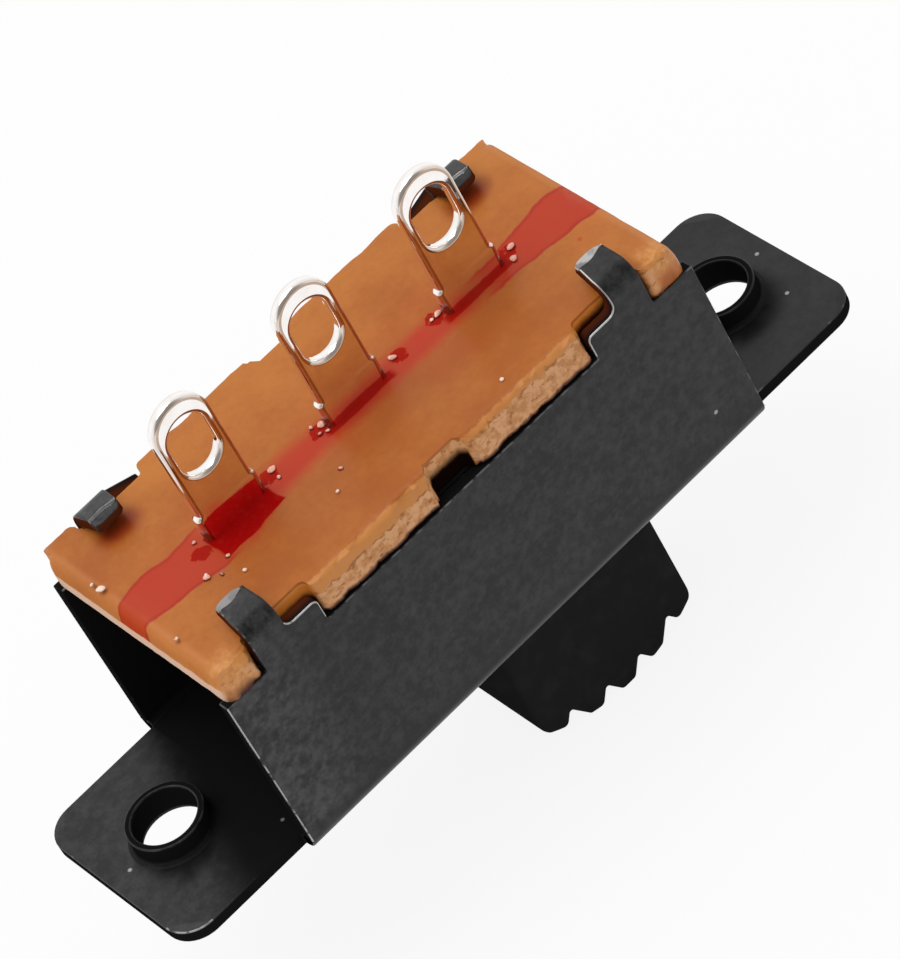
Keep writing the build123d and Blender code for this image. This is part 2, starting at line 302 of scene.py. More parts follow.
def phenolic():
    look = Finish("phenolic")
    x, y, z = look.axes()
    cloudy = look.grain(0.35, 3.0, 0.55)
    fine = look.grain(4.0, 3.0, 0.6)

    # painted light and shade over the tone: paler towards the far side and at the near ends, darker in front
    # of the lugs where they cast shade; also paler along the long edges and darker at the far left
    toneAndShade = 0.33 + 0.04 * y + 1.3 * (cloudy - 0.5) + 0.5 * (fine - 0.5)
    toneAndShade = toneAndShade + 0.22 * look.rise(y, 3.2, 4.4) + 0.15 * look.rise(y, -3.4, -4.6)
    toneAndShade = toneAndShade + 0.35 * look.rise(abs(x), 7.5, 9.8) * look.rise(y, 0.5, -1.5)
    toneAndShade = toneAndShade - 0.2 * look.rise(abs(x), 7.0, 5.0) * look.rise(abs(y + 1.7), 1.1, 0.3)
    toneAndShade = toneAndShade - 0.25 * look.rise(x, -7.0, -10.5) * look.rise(y, 1.5, 3.0)
    colour = look.mix(look.rise(toneAndShade, -0.15, 1.15), boardLook["deepTan"], boardLook["tan"])

    # painted shadow, deep red-brown, under the far tabs
    tabShadowX, tabShadowY = boardLook["tabShadowAt"]
    tabShadowLong, tabShadowWide = boardLook["tabShadowSize"]
    tabShadow = look.rise(look.fromAxis((abs(x) - tabShadowX) / tabShadowLong, (y - tabShadowY) / tabShadowWide), 1.15, 0.35)
    colour = look.mix(0.85 * tabShadow, colour, boardLook["tabShadow"])

    # the stripe wanders along the row of lugs, and pools in front of the left one
    wander = 0.3 * (look.grain(0.5, 1.0) - 0.5) + 0.22 * (look.grain(1.6, 2.0) - 0.5)
    wide = look.rise(abs(x + 7.0), 2.8, 0.6)
    lowEdge = boardLook["stripeLow"] - 0.75 * wide - 0.4 * look.rise(x, 5.0, 11.0)
    lowEdge = lowEdge - 0.4 * look.rise(x, -8.2, -9.8) + 0.4 * look.rise(x, -9.8, -11.4)
    highEdge = boardLook["stripeHigh"] + 0.3 * wide + 0.35 * look.rise(x, 6.0, 11.0)
    highEdge = highEdge + 0.45 * look.rise(x, -8.3, -9.8) - 0.15 * look.rise(x, -10.2, -11.4)
    depth = (y + wander - lowEdge).atMost(highEdge - y - wander)  # how far inside the stripe
    crisp = look.rise(abs(x + 0.5), 5.5, 7.5)  # its edges blur between the lugs
    stripe = look.rise(depth / (0.25 + 0.75 * crisp), -0.05, 0.07) * crisp
    stripe = stripe.atLeast(look.rise(depth + 0.3 * (cloudy - 0.5), -0.45, 0.5) * (1.0 - crisp))
    veil = look.rise(look.grain(0.3, 2.0, shift=(9.0, 0.0, 0.0)), 0.35, 0.6)
    haze = 0.16 * look.rise(abs(y + 0.3), 3.4, 0.8) * veil
    colour = look.mix(haze.atLeast(stripe * (0.75 + 0.35 * cloudy)), colour, boardLook["lacquer"])
    colour = look.mix(0.7 * crisp * stripe * look.rise(depth, 0.22, 0.06), colour, boardLook["rimLacquer"])

    # thick lacquer in the pool, along the feet of the lugs and in a few blots
    poolX, poolY = boardLook["poolAt"]
    longEdge, wideEdge = boardLook["poolEdges"]
    across = abs(x - poolX + 0.5 * (look.grain(0.8, 1.0, shift=(3.0, 0.0, 0.0)) - 0.5))
    along = abs(y - poolY + 0.9 * wander) + 0.3 * look.rise(x, -6.2, -4.4)
    pool = look.rise(across, *longEdge) * look.rise(along, *wideEdge)
    feet = look.rise(abs(y - boardLook["feetAt"] + 0.7 * wander), 0.27, 0.17)
    feet = feet * look.rise(abs(abs(x - 3.0) - 3.0), 1.8, 1.5)
    thick = (pool * (0.8 + 0.4 * fine).atMost(1.0)).atLeast(0.85 * feet)
    for place in boardLook["blots"]:
        away = look.spot((*place, boardHigh.z), boardLook["blotSize"])
        thick = thick.atLeast(0.8 * look.rise(away + 2.2 * (look.grain(3.2, 2.0, 0.6) - 0.5), 0.62, 0.85))
    colour = look.mix(thick, colour, boardLook["thickLacquer"])
    spots = look.specks(0.55, 0.07) * look.rise(look.grain(0.4, 1.0, shift=(0.0, 7.0, 0.0)), 0.5, 0.58)
    colour = look.mix(0.7 * spots, colour, boardLook["lacquer"])

    # the punched long sides are torn and granular under a rolled top edge
    lumps = look.grain(2.6, 3.0, 0.65)
    reach = abs(y) + 0.24 * (lumps - 0.5)
    front = look.rise(y, 1.0, -1.0)  # the far side is smoother
    # painted highlight along the rolled top edge of the near side
    colour = look.mix(0.65 * front * look.rise(reach, 4.98, 5.1), colour, boardLook["rolledEdgeHighlight"])
    ears = front * look.rise(abs(x) + 0.5 * (lumps - 0.5), 9.9, 10.5)
    ears = ears * look.rise(abs(y) + 0.4 * (lumps - 0.5), 4.1, 4.9)
    cornerColour = look.mix(look.rise(lumps, 0.36, 0.64), boardLook["cornerDark"], boardLook["corner"])
    colour = look.mix(0.8 * ears, colour, cornerColour)
    below = boardHigh.z - z
    tear = below - 0.3 - 0.3 * look.rise(x, 0.5, -1.5) + 0.5 * (lumps - 0.5)  # how far under the rolled edge
    outside = look.rise(reach, 5.05, 5.15)
    raw = outside * look.rise(tear, -0.06, 0.06) * (1.0 - 0.6 * ears)
    rawColour = look.mix(look.rise(lumps, 0.36, 0.6), boardLook["rawMid"], boardLook["rawLight"])
    pits = look.rise(look.grain(3.4, 2.0, 0.6, shift=(5.0, 0.0, 0.0), stretch=(0.8, 1.0, 1.3)), 0.56, 0.68)
    rawColour = look.mix(0.7 * pits, rawColour, boardLook["pit"])
    colour = look.mix(raw, colour, rawColour)
    # painted shade: a broken dark line in the crease under the rolled edge
    broken = look.rise(look.grain(1.9, 2.0, 0.6, shift=(0.0, 3.0, 0.0)), 0.45, 0.58)
    creaseShade = outside * look.rise(abs(tear), 0.09, 0.03) * broken
    colour = look.mix(0.75 * creaseShade, colour, boardLook["pit"])
    # painted shade along the foot of the torn sides, where they meet the steel
    foot = outside * look.rise(z, boardLow.z + 0.2 + 0.4 * ears, boardLow.z + 0.03)
    colour = look.mix(foot, colour, boardLook["footShadowBrown"])

    # the notches are smooth, with a painted highlight along their top and painted shade falling to dark
    # below; the ends are cut pale low down
    notch = look.rise(below, 0.1, 0.16) * look.rise(abs(y), 5.12, 5.02) * look.rise(abs(x), 10.9, 10.6)
    # painted shade: the right-hand notch falls darker
    right = look.rise(x, 5.5, 6.5)  # the right-hand notch is the darker one
    # painted shade beside the right near tab and low on the near right corner
    rightNearShade = look.rise(x, 6.2, 7.5) * look.rise(x, 10.2, 9.7) * look.rise(y, -3.7, -4.6)
    rightNearShade = (0.55 * rightNearShade).atLeast(0.85 * right * ears * look.rise(below + 0.3 * (lumps - 0.5), 0.5, 1.05))
    colour = look.mix(rightNearShade, colour, boardLook["rightNearShade"])
    # painted highlight along the top of the notch walls, and painted shade falling to dark below, darkest in
    # the middle notch
    fall = below + 0.2 * (lumps - 0.5) + 0.28 * right
    notchColour = look.mix(look.rise(fall, 0.3, 0.12), boardLook["notch"], boardLook["rolledEdgeHighlight"])
    central = look.rise(abs(x), 2.2, 1.6)  # the middle notch is torn like the sides
    notchColour = look.mix(central, notchColour, rawColour)
    notchShadows = look.mix(central, boardLook["footShadowBrown"], boardLook["notchShadowBlack"])
    notchColour = look.mix(look.rise(fall, 0.45, 0.9), notchColour, notchShadows)
    colour = look.mix(notch, colour, notchColour)
    cutLine = boardLow.z + boardLook["endBand"] + 0.2 * (lumps - 0.5)
    ends = look.rise(abs(x), boardHigh.x - 0.6, boardHigh.x - 0.3)
    # painted light: the rolled ends are paler, to look as lit as the top
    colour = look.mix(0.4 * ends * (1.0 - 0.8 * stripe), colour, boardLook["endLitColour"])
    ends = look.rise(abs(x), boardHigh.x - 0.45, boardHigh.x - 0.04)
    ends = ends * look.rise(abs(y), 5.2, 4.9)
    colour = look.mix(ends * look.rise(z - cutLine, 0.06, -0.06), colour, boardLook["endCut"])
    look.surface({
        "Base Color": colour,
        "Roughness": boardLook["roughness"] + 0.08 * (fine - 0.5) + 0.2 * raw,
        "Specular IOR Level": 0.22,
        "Normal": look.bump(fine * 0.12 + (1.2 * raw + 0.8 * ears) * lumps, 0.35, 0.06),
    })
    look.cover(ends.atLeast(notch).atLeast(thick), look.flat(colour))
    return look.material


tinLook = {
    "tin": (0.97, 0.94, 0.92, 1.0),
    "dull": (0.92, 0.87, 0.83, 1.0),
    "edgeReflection": (0.50, 0.36, 0.27, 1.0),
    "stemRed": (0.24, 0.03, 0.015, 1.0),
    "roughness": 0.05,
}


def tinPlate():
    # painted reflection darkens the rounded edges to brown, and the sides of the stems are dark red near the
    # board
    look = Finish("tinPlate")
    z = look.axes()[2]
    cloudy = look.grain(1.6, 3.0, 0.6)
    streak = look.grain(3.0, 2.0, 0.6, stretch=(3.0, 3.0, 0.35))
    colour = look.mix(look.rise(cloudy, 0.4, 0.75), tinLook["tin"], tinLook["dull"])
    colour = look.mix(look.flag("edgeReflection") * (0.55 + 0.9 * cloudy).atMost(1.0), colour, tinLook["edgeReflection"])
    redNearBoard = look.flag("rim") * look.rise(z + 0.4 * (cloudy - 0.5), boardHigh.z + 0.6, boardHigh.z + 0.35)
    look.surface({
        "Base Color": look.mix(redNearBoard, colour, tinLook["stemRed"]),
        "Metallic": 1.0 - 0.8 * redNearBoard,
        "Roughness": tinLook["roughness"] + 0.06 * (streak - 0.5),
        "Normal": look.bump(streak + cloudy, 0.03, 0.05),
    })
    return look.material


knobLook = {"plastic": (0.0195, 0.0185, 0.019, 1.0), "scuffed": (0.025, 0.024, 0.0245, 1.0), "roughness": 0.6}


def blackPlastic():
    look = Finish("blackPlastic")
    fine = look.grain(6.0, 3.0, 0.6)
    worn = look.rise(look.grain(1.1, 3.0), 0.45, 0.8)
    look.surface({
        "Base Color": look.mix(worn, knobLook["plastic"], knobLook["scuffed"]),
        "Roughness": knobLook["roughness"] + 0.12 * (fine - 0.5),
        "Specular IOR Level": 0.0,
        "Normal": look.bump(fine, 0.08, 0.03),
    })
    return look.material


clipLook = {"strip": (0.62, 0.36, 0.16, 1.0), "tarnish": (0.38, 0.2, 0.085, 1.0), "roughness": 0.28}


def rolledBronze():
    look = Finish("rolledBronze")
    streak = look.grain(2.5, 3.0, 0.6, stretch=(0.3, 2.0, 2.0))
    look.surface({
        "Base Color": look.mix(look.rise(streak, 0.4, 0.7), clipLook["strip"], clipLook["tarnish"]),
        "Metallic": 1.0,
        "Roughness": clipLook["roughness"] + 0.15 * (streak - 0.5),
    })
    return look.material


beadLook = {
    "red": (0.22, 0.006, 0.004, 1.0),
    "resin": (0.45, 0.17, 0.05, 1.0),
    "paleHighlight": (0.98, 0.76, 0.64, 1.0),
    "pinkHighlight": (0.90, 0.47, 0.36, 1.0),  # on the stripe
    "stripeHalf": 1.9,
}


def beadLacquer():
    # spatter, red on the stripe and resin-coloured aside, with a painted highlight on top
    look = Finish("beadLacquer")
    y, z = look.axes()[1:]
    aside = look.rise(abs(y + 0.4), beadLook["stripeHalf"] - 0.2, beadLook["stripeHalf"])
    foot = look.mix(aside, beadLook["red"], beadLook["resin"])
    # painted highlight: the tops of the drops are pale aside from the stripe and pink on it
    highlightShare = look.rise(z + 0.1 * (look.grain(5.0, 2.0) - 0.5), boardHigh.z + 0.035, boardHigh.z + 0.09)
    paleHighlight = aside.atLeast(look.rise(look.grain(2.2, 2.0), 0.5, 0.62))
    top = look.mix(paleHighlight, beadLook["pinkHighlight"], beadLook["paleHighlight"])
    look.surface({
        "Base Color": look.mix(highlightShare, foot, top),
        "Roughness": 0.2 + 0.1 * look.grain(4.0),
        "Specular IOR Level": 0.3,
    })
    return look.material


def newVerts(result):
    return [item for item in result["geom"] if isinstance(item, bmesh.types.BMVert)]


def newEdges(result, key="geom"):
    fresh = {item for item in result[key] if isinstance(item, bmesh.types.BMVert)}
    return [item for item in result[key] if isinstance(item, bmesh.types.BMEdge) and set(item.verts) <= fresh]


def vertsOf(edges):  # each vertex once, in the order of the edges
    return list(dict.fromkeys(vert for edge in edges for vert in edge.verts))


def pull(bm, edges, move):  # draws a row of edges out into a strip, and gives the new row
    result = bmesh.ops.extrude_edge_only(bm, edges=edges)
    bmesh.ops.translate(bm, vec=move, verts=newVerts(result))
    return newEdges(result)


def turn(bm, edges, centre, angle, steps):  # rolls a row of edges round an axis along X
    result = bmesh.ops.spin(
        bm, geom=vertsOf(edges) + edges, cent=centre, axis=(1, 0, 0), dvec=(0, 0, 0), angle=angle,
        steps=steps, use_merge=False, use_normal_flip=False, use_duplicate=False,
    )
    return newEdges(result, "geom_last")


def roundEdges(bm, edges, offset, segments, clamp=True):
    result = bmesh.ops.bevel(
        bm, geom=edges, offset=offset, offset_type="OFFSET", affect="EDGES", segments=segments,
        profile=0.5, material=-1, clamp_overlap=clamp, face_strength_mode="ALL",
    )
    return result["faces"]


def roundCorners(bm, verts, offset, segments):
    bmesh.ops.bevel(
        bm, geom=verts, offset=offset, offset_type="OFFSET", affect="VERTICES", segments=segments,
        profile=0.5, material=-1, clamp_overlap=True,
    )


def near(value, target, slack=0.004):
    return abs(value - target) < slack


def middle(edge):
    return (edge.verts[0].co + edge.verts[1].co) / 2


def sharpEdges(bm, angle):
    paired = [edge for edge in bm.edges if len(edge.link_faces) == 2]
    return [edge for edge in paired if edge.calc_face_angle(0) > radians(angle)]


def chain(bm, points):
    verts = [bm.verts.new(point) for point in points]
    return [bm.edges.new(pair) for pair in zip(verts, verts[1:])]


def finishPiece(bm, name, materials, body, nodes, angle=32):
    bmesh.ops.remove_doubles(bm, verts=bm.verts, dist=0.0005)
    bmesh.ops.recalc_face_normals(bm, faces=bm.faces)
    bmesh.ops.scale(bm, vec=(mm, mm, mm), verts=bm.verts)
    mesh = bpy.data.meshes.new(name)
    bm.to_mesh(mesh)
    bm.free()
    for material in materials:
        mesh.materials.append(material)
    mesh.shade_smooth()
    mesh.set_sharp_from_angle(angle=radians(angle))
    piece = bpy.data.objects.new(name, mesh)
    bpy.context.scene.collection.objects.link(piece)
    even = piece.modifiers.new("evenShading", "WEIGHTED_NORMAL")
    even.keep_sharp = True
    even.use_face_influence = True
    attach(piece, body)
    if nodes:
        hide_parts(*nodes)
    print(name, len(mesh.polygons), "faces")
    return piece


# Folded steel frame: the outside of the sheet is drawn as one strip across the channel
frameLow, frameHigh = boxInMm("frame")
boardLow, boardHigh = boxInMm("terminal_board")
sheet = {
    "thickness": 0.55, "channelEnd": 11.6, "foldInside": 0.2, "foldSteps": 8,
    "seat": boardLow.z, "seatRecess": 0.15, "shoulderTop": boardLow.z + 0.95,
    "tabInner": 8.2, "tabOuter": 9.65, "shoulderInner": 6.75,
    "slotEnd": 6.5, "slotSide": 3.2, "slotCorner": 0.3,
    "tabBend": 0.3, "tabAngle": 75.0, "tabDrop": 0.1, "tabStraight": 1.2, "tabColumns": 12,
    "facetLength": 0.12, "facetSink": 0.18, "facetBulge": 0.36, "facetStep": 0.05,  # the struck tips
    # facetLine is the row of painted shadow before the struck step
    "facetLine": 0.06, "facetShift": -0.15, "facetWidth": 1.15, "tipTaper": 0.12, "tipRound": 0.28,
    "shoulderRadius": 0.25, "tabFillet": 0.36, "farRise": 0.3, "farShare": 0.4,
    "earSetback": 0.025, "earCorner": 1.3, "holeAt": 14.25, "holeRadius": 1.3, "holeSides": 48,
    "collarWall": 0.28, "collarRim": 1.43, "collarRoot": 0.2, "collarEntry": 0.3, "rimRadius": 0.06,
    "edgeRadius": 0.05,
}
rubs = {
    "earTipWearAndHighlight": 0.65, "shoulder": 1.0, "leftTab": 0.1, "tabSide": 0.6, "seat": 0.5,
    "leftEnd": 0.75, "rightEnd": 0.45,
}


def wallRow(bm, side, level):
    # the edges along a wall's top row, on one side of the channel
    return [
        edge for edge in bm.edges
        if all(near(vert.co.y, side) and near(vert.co.z, level) for vert in edge.verts)
    ]


def between(edges, low, high):
    return [edge for edge in edges if low - 0.004 <= abs(middle(edge).x) <= high + 0.004]


def raiseWall(bm, side):
    # the seat for the board, the shoulders beside the tabs, then the tabs themselves
    inward = 1 if side < 0 else -1
    row = wallRow(bm, side, sheet["seat"] - sheet["seatRecess"])
    outer = between(row, sheet["shoulderInner"], sheet["channelEnd"])
    row = pull(bm, outer, (0, 0, sheet["seatRecess"]))
    shoulderTop = sheet["shoulderTop"] + (sheet["farRise"] if side > 0 else 0)
    shoulders = between(row, sheet["shoulderInner"], sheet["tabOuter"])
    row = pull(bm, shoulders, (0, 0, shoulderTop - sheet["seat"]))
    bendLevel = boardHigh.z - sheet["tabDrop"] + 0.001
    bendRadius = sheet["tabBend"] + sheet["thickness"]
    angle = radians(sheet["tabAngle"])
    hinge = (0, side + inward * bendRadius, bendLevel)
    tabs = between(row, sheet["tabInner"], sheet["tabOuter"])
    bmesh.ops.subdivide_edges(bm, edges=tabs, cuts=sheet["tabColumns"] - 1)
    row = between(wallRow(bm, side, shoulderTop), sheet["shoulderInner"], sheet["tabOuter"])
    tabs = between(row, sheet["tabInner"], sheet["tabOuter"])
    if side < 0:
        fillet = sheet["tabFillet"]
        arc = [step * pi / 10 for step in range(6)]
        for start, stop in zip(arc, arc[1:]):
            tabs = pull(bm, tabs, (0, 0, fillet * (cos(start) - cos(stop))))
        tabs = pull(bm, tabs, (0, 0, bendLevel - shoulderTop - fillet))
        for vert in bm.verts:
            up = (vert.co.z - shoulderTop) / fillet
            if near(vert.co.y, side) and near(abs(vert.co.x), sheet["tabInner"]) and -0.001 < up < 1:
                vert.co.x -= (1 if vert.co.x > 0 else -1) * fillet * (1 - (1 - (1 - max(up, 0)) ** 2) ** 0.5)
        tabs = turn(bm, tabs, hinge, -inward * angle, 10)
    else:
        row = pull(bm, row, (0, 0, bendLevel - shoulderTop))  # the far shoulders slope up into the bend
        row = turn(bm, row, hinge, -inward * sheet["farShare"] * angle, 4)
        for vert in bm.verts:
            if vert.co.y > 0 and vert.co.z > shoulderTop and near(abs(vert.co.x), sheet["shoulderInner"]):
                vert.co.y, vert.co.z = side, shoulderTop
        tabs = between(row, sheet["tabInner"], sheet["tabOuter"])
        tabs = turn(bm, tabs, hinge, -inward * (1 - sheet["farShare"]) * angle, 6)
    along = Vector((0, inward * sin(angle), cos(angle)))
    rows = [sheet["facetLine"], sheet["facetStep"], sheet["facetLength"] - sheet["facetStep"]]
    for length in [sheet["tabStraight"] - sum(rows)] + rows:
        tabs = pull(bm, tabs, along * length)


def strikeTabs(bm, struck, dull):
    # the tips taper, and a round tool struck them, which left a bare crescent; the dark step before it is
    # painted shadow
    angle = radians(sheet["tabAngle"])
    bendRadius = sheet["tabBend"] + sheet["thickness"]
    tabMiddle = (sheet["tabInner"] + sheet["tabOuter"]) / 2
    tabHalf = (sheet["tabOuter"] - sheet["tabInner"]) / 2
    stepStart = sheet["tabStraight"] - sheet["facetLength"]
    verge, brink, hit = set(), set(), set()
    for vert in bm.verts:
        inward = 1 if vert.co.y < 0 else -1
        centre = Vector((0, inward * (bendRadius + frameLow.y), boardHigh.z - sheet["tabDrop"]))
        along = Vector((0, inward * sin(angle), cos(angle)))
        outward = Vector((0, -inward * cos(angle), sin(angle)))
        reach, height = (vert.co - centre).dot(along), (vert.co - centre).dot(outward)
        if reach < 0.001 or vert.co.z < boardHigh.z:
            continue
        end = 1 if vert.co.x > 0 else -1
        across = (vert.co.x - end * tabMiddle) / tabHalf
        vert.co.x -= across * tabHalf * sheet["tipTaper"] * reach / sheet["tabStraight"]
        if reach > stepStart - 1.1 * sheet["facetLine"]:
            vert.co -= along * sheet["tipRound"] * (across ** 4 if across > 0 else 0.5 * across ** 4)
        bite = max(0.0, 1 - ((across - sheet["facetShift"]) / sheet["facetWidth"]) ** 2)
        if not near(height, bendRadius) or bite == 0:
            continue
        if stepStart - 1.5 * sheet["facetLine"] < reach < stepStart + 2 * sheet["facetStep"]:
            vert.co -= along * sheet["facetBulge"] * bite
        if reach < stepStart - 0.5 * sheet["facetLine"]:
            if reach > stepStart - 1.5 * sheet["facetLine"]:
                verge.add(vert)
        elif reach < stepStart + 0.5 * sheet["facetStep"]:
            brink.add(vert)
        else:
            sink = sheet["facetStep"] + sheet["facetSink"] * (reach - stepStart) / sheet["facetLength"]
            vert.co -= outward * sink * min(1.0, 3 * bite)
            hit.add(vert)
    for face in bm.faces:
        corners = set(face.verts)
        # painted shade: the far tips stay painted dark up to the step, with a bare brink as a painted
        # highlight; the row before a near step is dull and dark as painted shadow
        front = face.calc_center_median().y < 0  # paint still covers the far ones, up to the step
        if corners <= hit:
            face[struck] = 1.0 if front else 0.0
        elif corners & hit and corners & brink:
            face[struck] = 0.0 if front else 0.7
        elif corners & verge and corners & brink:
            face[dull] = 0.9 if front else 0.0


def addEar(bm, end):
    # the floor's end is drawn out, rounded, and filled again round the screw hole
    floorEnd = [
        edge for edge in bm.edges
        if all(near(vert.co.x, end * sheet["channelEnd"]) and near(vert.co.z, 0) for vert in edge.verts)
        and abs(middle(edge).y) < -frameLow.y - sheet["foldInside"] - sheet["thickness"] - sheet["earSetback"]
    ]
    tip = pull(bm, floorEnd, (end * (frameHigh.x - sheet["channelEnd"]), 0, 0))
    tipVerts = vertsOf(tip)
    faces = [face for face in bm.faces if any(vert in tipVerts for vert in face.verts)]
    bmesh.ops.dissolve_faces(bm, faces=faces, use_verts=False)
    earHalf = max(abs(vert.co.y) for vert in tipVerts)
    roundCorners(bm, [vert for vert in tipVerts if near(abs(vert.co.y), earHalf)], sheet["earCorner"], 10)
    level = [face for face in bm.faces if near(face.normal.z ** 2, 1)]
    ear = max(level, key=lambda face: end * face.calc_center_median().x)
    rim = list(ear.edges)
    bmesh.ops.delete(bm, geom=[ear], context="FACES_ONLY")
    hole = bmesh.ops.create_circle(
        bm, cap_ends=False, radius=sheet["holeRadius"] + sheet["collarWall"] + sheet["collarRoot"],
        segments=sheet["holeSides"], matrix=Matrix.Translation((end * sheet["holeAt"], 0, 0)),
    )
    ring = dict.fromkeys(edge for vert in hole["verts"] for edge in vert.link_edges)
    bmesh.ops.triangle_fill(bm, use_beauty=True, use_dissolve=False, edges=rim + list(ring))


def addCollar(bm, end):
    # a ring profile spun round the hole, with its corners rounded afterwards
    inner, wall = sheet["holeRadius"], sheet["holeRadius"] + sheet["collarWall"]
    root = wall + sheet["collarRoot"]
    profile = [
        (root, sheet["thickness"]), (wall, sheet["thickness"]), (wall, sheet["collarRim"]),
        (inner, sheet["collarRim"]), (inner, 0), (root, 0),
    ]
    at = end * sheet["holeAt"]
    ring = bmesh.new()
    edges = chain(ring, [(at + radius, 0, level) for radius, level in profile])
    bmesh.ops.spin(
        ring, geom=list(ring.verts) + edges, cent=(at, 0, 0), axis=(0, 0, 1), dvec=(0, 0, 0), angle=2 * pi,
        steps=sheet["holeSides"], use_merge=True, use_normal_flip=False, use_duplicate=False,
    )
    dull = ring.faces.layers.float.new("dull")
    # painted shade: the collar is made dull and dark, fully above the ear and less below it and on its
    # rounded rims
    for face in ring.faces:
        face[dull] = 1.0 if face.calc_center_median().z > sheet["thickness"] else 0.6
    for radius, level, rounding, segments in (
        (wall, sheet["collarRim"], sheet["rimRadius"], 3), (inner, sheet["collarRim"], sheet["rimRadius"], 3),
        (wall, sheet["thickness"], sheet["collarRoot"], 4), (inner, 0, sheet["collarEntry"], 5),
    ):
        hub = Vector((at, 0, level))
        loop = [
            edge for edge in ring.edges
            if all(near((vert.co - hub).length, radius) and near(vert.co.z, level) for vert in edge.verts)
        ]
        for face in roundEdges(ring, loop, rounding, segments):
            face[dull] = 0.35 if rounding == sheet["rimRadius"] else 0.7
    scrap = bpy.data.meshes.new("collarRing")
    ring.to_mesh(scrap)
    ring.free()
    bm.from_mesh(scrap)
    bpy.data.meshes.remove(scrap)


def handled(at):
    # how far the paint is rubbed off an edge
    if at.z < sheet["thickness"] + 0.1:
        # bare wear on the left ear's near corner, which also serves as a painted highlight
        return rubs["earTipWearAndHighlight"] if at.x < -16 and at.y < -3.3 and at.z > 0.4 else 0.0
    if at.y > 0.15 + frameLow.y and at.z < boardHigh.z - sheet["tabDrop"]:
        return 0.0
    if at.z > sheet["seat"] and sheet["shoulderInner"] - 0.1 < abs(at.x) < sheet["tabInner"] + 0.15:
        if at.y > 0:
            return 0.0
        return rubs["shoulder"] if at.x > 0 or at.z < sheet["shoulderTop"] + 0.2 else rubs["leftTab"]
    if at.z > sheet["shoulderTop"]:
        return rubs["tabSide"] if at.y < 0 and -0.1 < at.x + sheet["tabOuter"] < 0.2 else 0.0
    if abs(at.x) > sheet["channelEnd"] - 0.1:
        return rubs["leftEnd"] if at.x < 0 else rubs["rightEnd"]
    return rubs["seat"] if near(at.z, sheet["seat"] - sheet["seatRecess"], 0.1) else 0.0


